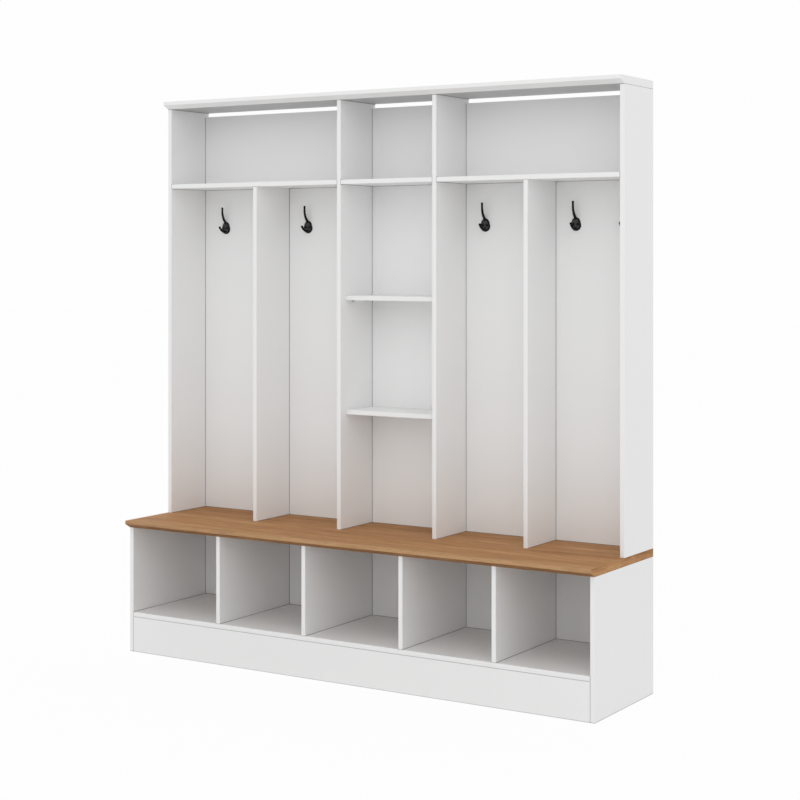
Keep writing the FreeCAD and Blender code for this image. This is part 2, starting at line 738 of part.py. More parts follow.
for thing in doc.Objects:
    if "Invalid" in thing.State or "Error" in thing.State:
        raise RuntimeError(f"{thing.Name} failed: {thing.State}")
os.makedirs("parts", exist_ok=True)
for name, thing in nodes.items():
    thing.Label = name
    if thing.Shape.isNull() or not thing.Shape.isValid():
        raise RuntimeError(f"{name} has no valid shape")
    thing.Shape.exportStep(f"parts/{name}.step")
    print(name, len(thing.Shape.Solids), round(thing.Shape.Volume))
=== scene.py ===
import json
import math

import bmesh
import bpy
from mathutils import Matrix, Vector


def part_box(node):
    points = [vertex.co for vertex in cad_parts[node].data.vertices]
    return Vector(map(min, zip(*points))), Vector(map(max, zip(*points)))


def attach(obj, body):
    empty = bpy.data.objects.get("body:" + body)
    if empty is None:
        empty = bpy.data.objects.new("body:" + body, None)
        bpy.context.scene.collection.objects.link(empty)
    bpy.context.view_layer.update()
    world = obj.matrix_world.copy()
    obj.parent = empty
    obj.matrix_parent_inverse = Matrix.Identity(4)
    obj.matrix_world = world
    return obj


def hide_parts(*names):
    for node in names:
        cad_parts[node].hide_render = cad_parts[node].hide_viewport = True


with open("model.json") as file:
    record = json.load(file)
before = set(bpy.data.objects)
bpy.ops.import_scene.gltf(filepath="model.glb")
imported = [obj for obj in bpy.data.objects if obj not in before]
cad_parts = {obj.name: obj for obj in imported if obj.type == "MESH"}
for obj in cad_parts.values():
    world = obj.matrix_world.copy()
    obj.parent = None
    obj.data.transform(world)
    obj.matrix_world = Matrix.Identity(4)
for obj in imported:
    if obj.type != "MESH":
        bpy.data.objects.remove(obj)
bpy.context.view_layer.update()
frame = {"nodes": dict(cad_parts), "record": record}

scene = bpy.context.scene

# The frame's axes, and the bays as counted from the left
ACROSS, DEPTH, UP = range(3)
BAY_COUNT = 5
CENTRE_BAY = 2

# Sizes in metres: the reach within which corners are one point, the level of the joint under the
# top board, and where the hooks and their screws go
SAME_POINT = 1e-6
TOP_JOINT = 1.8746
HOOK_SPACING = 0.170
HOOK_LEVEL = 1.458
SCREW_OFFSET = 0.008

# Thin lines of painted shade where boards meet: their width in inside corners and on front faces,
# and their rise
CORNER_LINE = 0.0018
FACE_LINE = 0.0008
LINE_RISE = 0.0002

# Where painted light and shade in the finishes fade out: the painted contact shadow at the floor
# and the painted shade in the seam under the top board, by height, and the seat's painted lighter
# front and the painted highlight along its front edge, by depth
FLOOR_SHADOW_FADE = (0.0012, 0.0026)
TOP_LINE_FADE = (0.0006, 0.0012)
FRONT_LIGHT_FADE = (-0.20, 0.02)
EDGE_HIGHLIGHT_FADE = (-0.214, -0.165)

# The grey strip of painted shade in the gap over the kick board: its front and rear behind the
# kick board's face, its eased edge
STRIP_FRONT = 0.0008
STRIP_REAR = 0.006
STRIP_EASE = 0.0004

# The hook's foot: an egg round two circles, with its edge as steps of (inset, distance out)
FOOT_BIG, FOOT_SMALL = 0.0178, 0.0150
FOOT_LOW, FOOT_HIGH = -0.0036, 0.0068
FOOT_CORNERS = 56
FOOT_EDGE = ((0, 0), (0, 0.0014), (0.0004, 0.0026), (0.0011, 0.0037),
             (0.0021, 0.0045), (0.0031, 0.0049), (0.0042, 0.0050))
FOOT_THICK = FOOT_EDGE[-1][1]
SCREW_SEAT = ((0.0045, 0.0046), (0.0045, 0.0051), (0.0042, 0.0053))

# The prongs: half widths and half thicknesses are those at the root and at the end of the bend
LONG_PRONG = {
    "centre": (0, 0.031, 0.060),
    "bend": 0.054,
    "root_turn": math.acos(0.0305 / 0.054),
    "end_turn": 0.0,
    "straight": 0.014,
    "half_wide": (0.0047, 0.0035),
    "half_thick": (0.0045, 0.0034),
    "tip": 0.0039,
}
SHORT_PRONG = {
    "centre": (0, -0.008, 0.022),
    "bend": 0.036,
    "root_turn": math.radians(98),
    "end_turn": math.radians(38),
    "straight": 0.006,
    "half_wide": (0.0048, 0.0040),
    "half_thick": (0.0044, 0.0036),
    "tip": 0.0042,
}
BEND_STEPS = 26
TIP_STEPS = 7
TIP_CLOSE = 0.49 * math.pi

# Round hardware: the head's outer face lies on the point, and the shank starts at its root
FASTENER_SIZES = ("Root Radius", "Head Height", "Face Radius", "Shank Radius", "Shank Length",
                  "Cross Length", "Cross Width", "Cross Depth")
HEAD_SIDES = 32
SHANK_SIDES = 24
SHANK_OVERLAP = 0.0001

# Studio: floor, surround, lamp and the photo's camera
FLOOR_REACH = 30.0
FLOOR_PALE = 0.85
FLOOR_GLOW_SHARE = 0.95
SURROUND_LIGHT = 0.845
BACKGROUND_WHITE = 0.99
LAMP_SIZE = 8.0
LAMP_WATTS = 111.0
LAMP_PLACE = (4.129, -6.611, 5.500)
LAMP_AIM = (0, 0, 1.0)
SENSOR_WIDTH = 36.0
LENS = 78.727
LENS_SHIFT = -0.17828
CAMERA_PLACE = (3.1079, -4.789, 1.3527)
CAMERA_TURN = math.radians(32.1986)


class Wire:
    """An output socket of a node tree: sums and products of wires add Math nodes."""

    def __init__(self, tree, socket=None):
        self.tree = tree
        self.socket = socket

    def node(self, kind, settings=None, inputs=None, output=0):
        """Add any node: its settings first, then the values or wires of its sockets."""
        made = self.tree.nodes.new(kind)
        for name, value in (settings or {}).items():
            if name == "stops":
                ramp = made.color_ramp.elements
                while len(ramp) < len(value):
                    ramp.new(1.0)
                for stop, (place, colour) in zip(ramp, value):
                    stop.position = place
                    stop.color = (*colour, 1.0)
            else:
                setattr(made, name, value)
        for name, value in (inputs or {}).items():
            socket = made.inputs[name]
            if isinstance(value, Wire):
                self.tree.links.new(value.socket, socket)
            else:
                socket.default_value = value
        return Wire(self.tree, made.outputs[output] if made.outputs else None)

    def math(self, operation, first, second):
        return self.node("ShaderNodeMath", {"operation": operation}, {0: first, 1: second})

    def __add__(self, other):
        return self.math("ADD", self, other)

    __radd__ = __add__

    def __sub__(self, other):
        return self.math("SUBTRACT", self, other)

    def __rsub__(self, other):
        return self.math("SUBTRACT", other, self)

    def __mul__(self, other):
        return self.math("MULTIPLY", self, other)

    __rmul__ = __mul__


# Finishes
def new_finish(name):
    """An empty material, with a wire to build its nodes from."""
    material = bpy.data.materials.new(name)
    material.use_nodes = True
    material.node_tree.nodes.clear()
    return material, Wire(material.node_tree)


def close_finish(wire, sockets):
    shader = wire.node("ShaderNodeBsdfPrincipled", {}, sockets)
    wire.node("ShaderNodeOutputMaterial", {}, {"Surface": shader})


def grey(value):
    return (value, value, value, 1)


def colour_between(wire, share, first, second):
    sockets = {0: share, 6: first, 7: second}
    return wire.node("ShaderNodeMix", {"data_type": "RGBA"}, sockets, 2)


def cloud(wire, at, scale, detail=2.0, roughness=0.5):
    sockets = {"Vector": at, "Scale": scale, "Detail": detail, "Roughness": roughness}
    return wire.node("ShaderNodeTexNoise", {}, sockets)


def grain(wire, at, along, across, detail, roughness=0.5):
    """A cloud drawn out along the board, as coarse along it and across it as the factors say."""
    factors = (along, across, across)
    drawn = wire.node("ShaderNodeVectorMath", {"operation": "MULTIPLY"}, {0: at, 1: factors})
    return cloud(wire, drawn, 1.0, detail, roughness)


def bumped(wire, height, strength, distance):
    sockets = {"Height": height, "Strength": strength, "Distance": distance}
    return wire.node("ShaderNodeBump", {}, sockets)


def axes_of(wire, vector):
    """The X, Y and Z of a vector, as three wires."""
    first = wire.node("ShaderNodeSeparateXYZ", {}, {0: vector})
    return [Wire(wire.tree, socket) for socket in first.socket.node.outputs]


def fades(wire, value, start, end):
    """1 up to start, falling to 0 at end."""
    sockets = {"Value": value, "From Min": start, "From Max": end, "To Min": 1.0, "To Max": 0.0}
    return wire.node("ShaderNodeMapRange", {}, sockets)


def white_laminate():
    """Satin white laminate: nearly even, with a faint pressed grain, painted shade in the seam
    under the top board and a painted contact shadow along the floor.
    """
    material, wire = new_finish("white_laminate")
    white, whiter = grey(0.900), (0.916, 0.916, 0.915, 1)
    at = wire.node("ShaderNodeTexCoord", output="Object")
    level = axes_of(wire, at)[UP]
    drift = cloud(wire, at, scale=2.2)
    pressed = cloud(wire, at, scale=520.0, detail=3.0, roughness=0.6)
    body = colour_between(wire, drift, white, whiter)
    # Painted shade: a contact shadow along the floor and the shade of the seam under the top
    # board, both mixed towards dark grey
    floor_shadow = fades(wire, level, *FLOOR_SHADOW_FADE)
    under_top = fades(wire, wire.math("ABSOLUTE", level - TOP_JOINT, 0.0), *TOP_LINE_FADE)
    joint = wire.math("MAXIMUM", floor_shadow * 0.55, under_top * 0.60)
    close_finish(wire, {
        "Base Color": colour_between(wire, joint, body, grey(0.200)),
        "Roughness": 0.40 + pressed * 0.12,
        "Specular IOR Level": 0.35,
        "Normal": bumped(wire, pressed, strength=0.06, distance=0.0003),
    })
    return material


def wood_look():
    """Brown wood-grain laminate: figure along the seat, streaks, fibres and short dark pores."""
    material, wire = new_finish("wood_look")
    # The second colour is the pale tone of a painted highlight on the seat's front face and front
    # edge
    pore_brown, edge_highlight = (0.215, 0.094, 0.036, 1), (0.500, 0.360, 0.225, 1)
    at = wire.node("ShaderNodeTexCoord", output="Object")
    facing = wire.node("ShaderNodeNewGeometry", output="Normal")
    to_side, to_rear, to_top = axes_of(wire, facing)

    # On the ends the pattern is turned, so that it runs along them too
    on_end = wire.math("GREATER_THAN", wire.math("ABSOLUTE", to_side, 0.0), 0.7)
    turned = wire.node("ShaderNodeMapping", {}, {"Vector": at, "Rotation": (0, 0, math.pi / 2)})
    sockets = {0: on_end, 4: at, 5: turned}
    along = wire.node("ShaderNodeMix", {"data_type": "VECTOR"}, sockets, 1)
    wander = grain(wire, along, 1.6, 5.0, detail=3.0)
    swing = wire.node("ShaderNodeCombineXYZ", {}, {"Y": (wander - 0.5) * 0.07})
    bent = wire.node("ShaderNodeVectorMath", {"operation": "ADD"}, {0: along, 1: swing})

    figure = grain(wire, bent, 1.3, 17.0, detail=4.0, roughness=0.6)
    streak = grain(wire, bent, 3.6, 66.0, detail=5.0, roughness=0.7)
    fibre = grain(wire, bent, 10.0, 230.0, detail=3.0, roughness=0.6)
    pore = grain(wire, bent, 34.0, 700.0, detail=1.0)
    pore_mark = 1 - fades(wire, pore, 0.58, 0.68)
    tone = figure * 0.26 + streak * 0.44 + fibre * 0.30
    body = wire.node("ShaderNodeValToRGB", {"stops": (
        (0.36, (0.255, 0.114, 0.043)),
        (0.46, (0.385, 0.190, 0.078)),
        (0.54, (0.462, 0.246, 0.108)),
        (0.66, (0.590, 0.345, 0.172)),
    )}, {0: tone})
    marked = colour_between(wire, pore_mark * 0.40, body, pore_brown)

    # Painted light: paler towards the front, with a painted highlight on the front face and along
    # the front edge; painted shade darkens the bevel below
    deep = axes_of(wire, at)[DEPTH]
    to_front = fades(wire, deep, *FRONT_LIGHT_FADE)
    front_band = wire.math("LESS_THAN", to_rear, -0.9)
    bevel = wire.math("LESS_THAN", to_top, -0.2)
    shade = 1.03 + to_front * 0.10 + front_band * 0.08 - bevel * 0.40
    sockets = {0: marked, "Scale": shade}
    shaded = wire.node("ShaderNodeVectorMath", {"operation": "SCALE"}, sockets)
    on_top = wire.math("GREATER_THAN", to_top, 0.9)
    near_edge = fades(wire, deep, *EDGE_HIGHLIGHT_FADE) * on_top
    # Painted highlight: the front face and the top's front edge are mixed towards the pale tone
    highlight_share = wire.math("MAXIMUM", front_band * 0.35, near_edge * 0.20)
    relief = fibre * 0.5 - pore_mark * 0.5
    close_finish(wire, {
        "Base Color": colour_between(wire, highlight_share, shaded, edge_highlight),
        "Roughness": 0.62 - figure * 0.12 + pore_mark * 0.1,
        "Specular IOR Level": 0.06,
        "Normal": bumped(wire, relief, strength=0.18, distance=0.0004),
    })
    return material


def black_casting():
    """Black paint on a cast surface: near black, with a painted reflection that greys the foot's
    flat face.
    """
    material, wire = new_finish("black_casting")
    at = wire.node("ShaderNodeTexCoord", output="Object")
    # Painted reflection: the foot's flat front face is greyed where its sheen would show
    rubbed = wire.node("ShaderNodeAttribute", {"attribute_name": "rubbed"}, {}, "Fac")
    patch = cloud(wire, at, scale=90.0)
    pitted = cloud(wire, at, scale=1300.0)
    painted = colour_between(wire, patch, grey(0.004), grey(0.009))
    sheen_grey = colour_between(wire, patch, (0.056, 0.056, 0.057, 1), (0.072, 0.072, 0.073, 1))
    close_finish(wire, {
        "Base Color": colour_between(wire, rubbed, painted, sheen_grey),
        "Roughness": 0.42 + patch * 0.16,
        "Specular IOR Level": 0.12,
        "Normal": bumped(wire, pitted, strength=0.2, distance=0.0002),
    })
    return material


def zinc_steel():
    """Zinc-plated steel: a cool grey with soft spangle."""
    material, wire = new_finish("zinc_steel")
    at = wire.node("ShaderNodeTexCoord", output="Object")
    spangle = cloud(wire, at, scale=420.0)
    dull, bright = (0.50, 0.51, 0.53, 1), (0.68, 0.69, 0.70, 1)
    close_finish(wire, {
        "Base Color": colour_between(wire, spangle, dull, bright),
        "Metallic": 1.0,
        "Roughness": 0.30 + spangle * 0.18,
    })
    return material


def bare_beech():
    """Bare beech dowels: pale, with short flecks."""
    material, wire = new_finish("bare_beech")
    at = wire.node("ShaderNodeTexCoord", output="Object")
    fleck = cloud(wire, at, scale=700.0)
    brown, pale = (0.50, 0.34, 0.19, 1), (0.66, 0.48, 0.30, 1)
    close_finish(wire, {
        "Base Color": colour_between(wire, fleck, brown, pale),
        "Roughness": 0.62 + fleck * 0.15,
    })
    return material


def joint_shade(name, dark, light):
    """Painted shade for the inside of a joint between two boards, between two greys."""
    material, wire = new_finish(name)
    at = wire.node("ShaderNodeTexCoord", output="Object")
    dust = cloud(wire, at, scale=60.0)
    close_finish(wire, {
        "Base Color": colour_between(wire, dust, grey(dark), grey(light)),
        "Roughness": 0.8 + dust * 0.1,
        "Specular IOR Level": 0.1,
    })
    return material


FINISHES = {
    "white_laminate": white_laminate(),
    "wood_look": wood_look(),
    "black_casting": black_casting(),
    "zinc_steel": zinc_steel(),
    "beech": bare_beech(),
    "joint_shadow": joint_shade("joint_shadow", 0.14, 0.19),
    "kick_gap": joint_shade("kick_gap", 0.56, 0.62),
}
for part in frame["record"]["subparts"]:
    mesh = frame["nodes"][part["node"]].data
    mesh.materials.clear()
    mesh.materials.append(FINISHES[part["material_slot"]])


# Pieces grown by node trees
def show(name, mesh):
    piece = bpy.data.objects.new(name, mesh)
    scene.collection.objects.link(piece)
    return piece


def points_object(name, points, vectors=None, vector_name="vector"):
    """Loose points for a tree to work on, each with a vector of its own where one is given."""
    mesh = bpy.data.meshes.new(name)
    mesh.from_pydata(points, [], [])
    if vectors:
        values = mesh.attributes.new(vector_name, "FLOAT_VECTOR", "POINT")
        values.data.foreach_set("vector", [number for vector in vectors for number in vector])
    return show(name, mesh)


def node_tree(name, inputs):
    """A geometry tree with named inputs; returns it with a wire for each input."""
    tree = bpy.data.node_groups.new(name, "GeometryNodeTree")
    tree.interface.new_socket("Geometry", in_out="INPUT", socket_type="NodeSocketGeometry")
    for title, kind in inputs.items():
        tree.interface.new_socket(title, in_out="INPUT", socket_type=kind)
    tree.interface.new_socket("Geometry", in_out="OUTPUT", socket_type="NodeSocketGeometry")
    start = tree.nodes.new("NodeGroupInput")
    wires = {output.name: Wire(tree, output) for output in start.outputs if output.name}
    return tree, wires


def own_vector(points, name):
    """The vector that each point carries under a name."""
    settings = {"data_type": "FLOAT_VECTOR"}
    return points.node("GeometryNodeInputNamedAttribute", settings, {"Name": name})


def close_tree(wires, sockets):
    """Put copies on the points, make them real, give them their finish and end the tree."""
    points = wires["Geometry"]
    copies = points.node("GeometryNodeInstanceOnPoints", {}, {"Points": points, **sockets})
    real = copies.node("GeometryNodeRealizeInstances", {}, {"Geometry": copies})
    finish = {"Geometry": real, "Material": wires["Finish"]}
    dressed = real.node("GeometryNodeSetMaterial", {}, finish)
    dressed.node("NodeGroupOutput", {}, {"Geometry": dressed})


def grown(name, tree, base, values):
    """Run a tree on a base object and keep the result as a plain mesh."""
    modifier = base.modifiers.new("build", "NODES")
    modifier.node_group = tree
    for item in tree.interface.items_tree:
        if item.in_out == "INPUT" and item.name in values:
            modifier[item.identifier] = values[item.name]
    graph = bpy.context.evaluated_depsgraph_get()
    mesh = bpy.data.meshes.new_from_object(base.evaluated_get(graph), depsgraph=graph)
    mesh.name = name
    bpy.data.objects.remove(base)
    return show(name, mesh)


def bars_tree():
    """A bar on each point, as large as the point's own vector says."""
    tree, wires = node_tree("joint_bars", {"Finish": "NodeSocketMaterial"})
    points = wires["Geometry"]
    unit = points.node("GeometryNodeMeshCube", {}, {"Size": (1, 1, 1)})
    close_tree(wires, {"Instance": unit, "Scale": own_vector(points, "extent")})
    return tree


def hardware_tree():
    """A headed round fastener with a cross recess, turned as each point says."""
    tree, wires = node_tree("turned_hardware", {
        **{title: "NodeSocketFloat" for title in FASTENER_SIZES},
        "Finish": "NodeSocketMaterial",
    })
    points = wires["Geometry"]
    head = points.node("GeometryNodeMeshCone", {}, {
        "Vertices": HEAD_SIDES,
        "Radius Top": wires["Root Radius"],
        "Radius Bottom": wires["Face Radius"],
        "Depth": wires["Head Height"],
    })
    cross = []
    for first, second in (("Cross Length", "Cross Width"), ("Cross Width", "Cross Length")):
        extent = points.node("ShaderNodeCombineXYZ", {}, {
            "X": wires[first], "Y": wires[second], "Z": wires["Cross Depth"] * 2,
        })
        cross.append(points.node("GeometryNodeMeshCube", {}, {"Size": extent}))
    cut = {"operation": "DIFFERENCE", "solver": "EXACT"}
    recessed = points.node("GeometryNodeMeshBoolean", cut, {0: head})
    for slot in cross:
        tree.links.new(slot.socket, recessed.socket.node.inputs[1])
    shank = points.node("GeometryNodeMeshCylinder", {}, {
        "Vertices": SHANK_SIDES,
        "Radius": wires["Shank Radius"],
        "Depth": wires["Shank Length"],
    })
    drop = points.node("ShaderNodeCombineXYZ", {}, {
        "Z": wires["Head Height"] + wires["Shank Length"] * 0.5 - SHANK_OVERLAP,
    })
    placed = points.node("GeometryNodeTransform", {}, {"Geometry": shank, "Translation": drop})
    whole = points.node("GeometryNodeJoinGeometry")
    for piece in (recessed, placed):
        tree.links.new(piece.socket, whole.socket.node.inputs[0])
    way = {"Vector": own_vector(points, "way")}
    turn = points.node("FunctionNodeAlignRotationToVector", {"axis": "Z"}, way)
    close_tree(wires, {"Instance": whole, "Rotation": turn})
    return tree


def hooks_tree():
    """A copy of one cast hook on each point."""
    tree, wires = node_tree("hooks_on_boards", {
        "Hook": "NodeSocketObject",
        "Finish": "NodeSocketMaterial",
    })
    pattern = {"Object": wires["Hook"]}
    hook = wires["Geometry"].node("GeometryNodeObjectInfo", {}, pattern, "Geometry")
    close_tree(wires, {"Instance": hook})
    return tree


# Places, read from the boards
def board_name(kind, index):
    sides = {0: f"{kind}_side_left", BAY_COUNT: f"{kind}_side_right"}
    return sides.get(index, f"{kind}_divider_{index}")


hutch = [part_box(board_name("hutch", index)) for index in range(BAY_COUNT + 1)]
bench = [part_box(board_name("bench", index)) for index in range(BAY_COUNT + 1)]
seat_low, seat_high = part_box("bench_top")
deck_low, deck_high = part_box("bench_deck")
bench_back_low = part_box("bench_back")[0]
back_low, back_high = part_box("hutch_back_centre")
shelf_low, shelf_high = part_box("upper_shelf_centre")
top_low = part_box("top_board")[0]
kick_low, kick_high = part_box("kick_board")


def solids_of(node):
    """The lowest and highest corner of each separate solid of a node."""
    mesh = bmesh.new()
    mesh.from_mesh(frame["nodes"][node].data)
    bmesh.ops.remove_doubles(mesh, verts=mesh.verts, dist=SAME_POINT)
    boxes = []
    waiting = set(mesh.verts)
    for start in mesh.verts:
        if start not in waiting:
            continue
        waiting.remove(start)
        reached = [start]
        found = []
        while reached:
            corner = reached.pop()
            found.append(corner.co.copy())
            for edge in corner.link_edges:
                other = edge.other_vert(corner)
                if other in waiting:
                    waiting.remove(other)
                    reached.append(other)
        low = Vector(min(point[axis] for point in found) for axis in range(3))
        high = Vector(max(point[axis] for point in found) for axis in range(3))
        boxes.append((low, high))
    mesh.free()
    return boxes


# Cast hooks
def arc(start, sweep, count):
    """Evenly spaced turns, from start through sweep."""
    return [start + sweep * step / (count - 1) for step in range(count)]


def egg_ring(inset, out):
    """The foot's outline, drawn in by inset, at a distance out from the board."""
    big, small = FOOT_BIG - inset, FOOT_SMALL - inset
    lean = math.asin((big - small) / (FOOT_HIGH - FOOT_LOW))
    below = FOOT_CORNERS * 3 // 4
    ring = []
    for level, radius, turns in (
        (FOOT_LOW, big, arc(math.pi - lean, math.pi + 2 * lean, below)),
        (FOOT_HIGH, small, arc(lean, math.pi - 2 * lean, FOOT_CORNERS - below)),
    ):
        for turn in turns:
            ring.append(Vector((radius * math.cos(turn), -out, level + radius * math.sin(turn))))
    return ring


def screw_seat_ring(side, radius, out, count=24):
    """A circle round a screw of the foot, at a distance out from the board."""
    turns = [-2 * math.pi * step / count for step in range(count)]
    return [
        Vector((side + radius * math.cos(turn), -out, radius * math.sin(turn)))
        for turn in turns
    ]


def loft(mesh, rings):
    """Skin closed rings of equal count and cap both ends."""
    rows = [[mesh.verts.new(point) for point in ring] for ring in rings]
    count = len(rows[0])
    for first, second in zip(rows, rows[1:]):
        for step in range(count):
            after = (step + 1) % count
            mesh.faces.new((first[step], first[after], second[after], second[step]))
    mesh.faces.new(reversed(rows[0]))
    mesh.faces.new(rows[-1])


def finished_mesh(mesh, name):
    """Turn a built shape into mesh data and free it."""
    data = bpy.data.meshes.new(name)
    mesh.to_mesh(data)
    mesh.free()
    return data


def part_way(ends, share):
    first, last = ends
    return first + (last - first) * share


def prong_rings(centre, bend, root_turn, end_turn, straight, half_wide, half_thick, tip, count=20):
    """Oval rings from the root round the bend and along the straight end to a rounded tip."""
    places = []
    for step in range(BEND_STEPS + 1):
        share = step / BEND_STEPS
        turn = part_way((root_turn, end_turn), share)
        out = Vector((0, -math.cos(turn), -math.sin(turn)))
        wide, thick = part_way(half_wide, share), part_way(half_thick, share)
        places.append((Vector(centre) + out * bend, out, wide, thick))
    end, end_out, _, end_thick = places[-1]
    onward = Vector((0, -math.sin(end_turn), math.cos(end_turn)))
    ball_centre = end + onward * (straight - tip)
    begin = -math.acos(min(1.0, end_thick / tip))
    for step in range(TIP_STEPS + 1):
        turn = part_way((begin, TIP_CLOSE), step / TIP_STEPS)
        ball = tip * math.cos(turn)
        places.append((ball_centre + onward * (tip * math.sin(turn)), end_out, ball, ball))
    rings = []
    for point, out, wide, thick in places:
        ring = []
        for step in range(count):
            turn = 2 * math.pi * step / count
            sideways = Vector((wide * math.cos(turn), 0, 0))
            ring.append(point + sideways + out * (thick * math.sin(turn)))
        rings.append(ring)
    return rings


def cast_hook():
    """One hook at the origin: foot on the board, long prong above and short prong below."""
    mesh = bmesh.new()
    loft(mesh, [egg_ring(inset, out) for inset, out in FOOT_EDGE])
    for prong in (LONG_PRONG, SHORT_PRONG):
        loft(mesh, prong_rings(**prong))
    for side in (-SCREW_OFFSET, SCREW_OFFSET):
        loft(mesh, [screw_seat_ring(side, radius, out) for radius, out in SCREW_SEAT])
    bmesh.ops.recalc_face_normals(mesh, faces=mesh.faces)
    # Marks the foot's flat front face for the painted reflection in the black finish
    rubbed = mesh.faces.layers.float.new("rubbed")
    for face in mesh.faces:
        corners = len(face.verts)
        face.smooth = corners == 4
        in_front = face.calc_center_median().y < -FOOT_THICK / 2
        face[rubbed] = 1.0 if corners == FOOT_CORNERS and in_front else 0.0
    return show("hook_pattern", finished_mesh(mesh, "hook_pattern"))


def coat_hooks():
    """Two cast hooks on the back of each coat bay."""
    points = []
    for bay in range(BAY_COUNT):
        if bay != CENTRE_BAY:
            middle = (hutch[bay][1].x + hutch[bay + 1][0].x) / 2
            for side in (-0.5, 0.5):
                points.append((middle + side * HOOK_SPACING, back_low.y, HOOK_LEVEL))
    pattern = cast_hook()
    values = {"Hook": pattern, "Finish": FINISHES["black_casting"]}
    hooks = grown("coat_hooks_cast", hooks_tree(), points_object("hook_points", points), values)
    bpy.data.objects.remove(pattern)
    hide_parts("coat_hooks")
    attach(hooks, "carcass")


# Visible hardware: round pieces in place of the six-sided solids
turned_hardware = hardware_tree()
joint_bars = bars_tree()


def fasteners(name, node, way_of, finish, sizes):
    """One fastener for each solid of a node; way_of gives the point and the way it is driven."""
    places, ways = zip(*(way_of(low, high) for low, high in solids_of(node)))
    base = points_object(name + "_points", places, ways, "way")
    values = dict(zip(FASTENER_SIZES, sizes))
    values["Finish"] = FINISHES[finish]
    piece = grown(name, turned_hardware, base, values)
    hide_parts(node)
    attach(piece, "carcass")


def driven(axis, sign):
    """Gives a fastener's point, where its solid starts along one axis, and its way."""
    def place(low, high):
        point = (low + high) / 2
        point[axis] = low[axis] if sign > 0 else high[axis]
        way = Vector((0, 0, 0))
        way[axis] = sign
        return point, way
    return place


def joint_screw_way(low, high):
    """The screws under the deck are driven up, all others down."""
    return driven(UP, 1 if high.z < seat_low.z else -1)(low, high)


def cam_way(low, high):
    """A cam shows on the face that its disc is flush with, across its shortest side."""
    extent = high - low
    axis = min((ACROSS, DEPTH, UP), key=lambda number: extent[number])
    signs = (
        1 if low.x > bench[0][1].x else -1,
        -1 if low.y < 0 else 1,
        1 if high.z < seat_low.z else -1,
    )
    return driven(axis, signs[axis])(low, high)


def pin_way(low, high):
    """A shelf pin goes into the upright on its own side of the centre bay."""
    return driven(ACROSS, -1 if low.x < 0 else 1)(low, high)


def visible_hardware():
    """Each kind's sizes are in the order of FASTENER_SIZES."""
    small_screw = (0.0031, 0.0014, 0.0021, 0.0016, 0.0139, 0.0038, 0.0009, 0.0009)
    fasteners("hook_screw_heads", "hook_screws", driven(DEPTH, 1), "black_casting",
              (0.0037, 0.0014, 0.0031, 0.0016, 0.0139, 0.0044, 0.0011, 0.0011))
    fasteners("back_screw_heads", "back_screws", driven(DEPTH, -1), "zinc_steel",
              (0.0030, 0.0020, 0.0035, 0.0017, 0.0329, 0.0042, 0.0009, 0.0011))
    fasteners("joint_screw_heads", "joint_screws", joint_screw_way, "zinc_steel",
              (0.0040, 0.0030, 0.0045, 0.0026, 0.0469, 0.0050, 0.0012, 0.0016))
    fasteners("plate_screw_heads", "plate_screws", driven(DEPTH, -1), "zinc_steel", small_screw)
    fasteners("bracket_screw_heads", "bracket_screws", driven(UP, 1), "zinc_steel", small_screw)
    fasteners("cam_disc_faces", "cam_discs", cam_way, "zinc_steel",
              (0.0075, 0.0114, 0.0073, 0.0020, 0.0003, 0.0090, 0.0016, 0.0022))
    fasteners("shelf_pin_rods", "shelf_pins", pin_way, "zinc_steel",
              (0.0025, 0.0012, 0.0019, 0.0024, 0.0158, 0.0010, 0.0010, 0.0002))
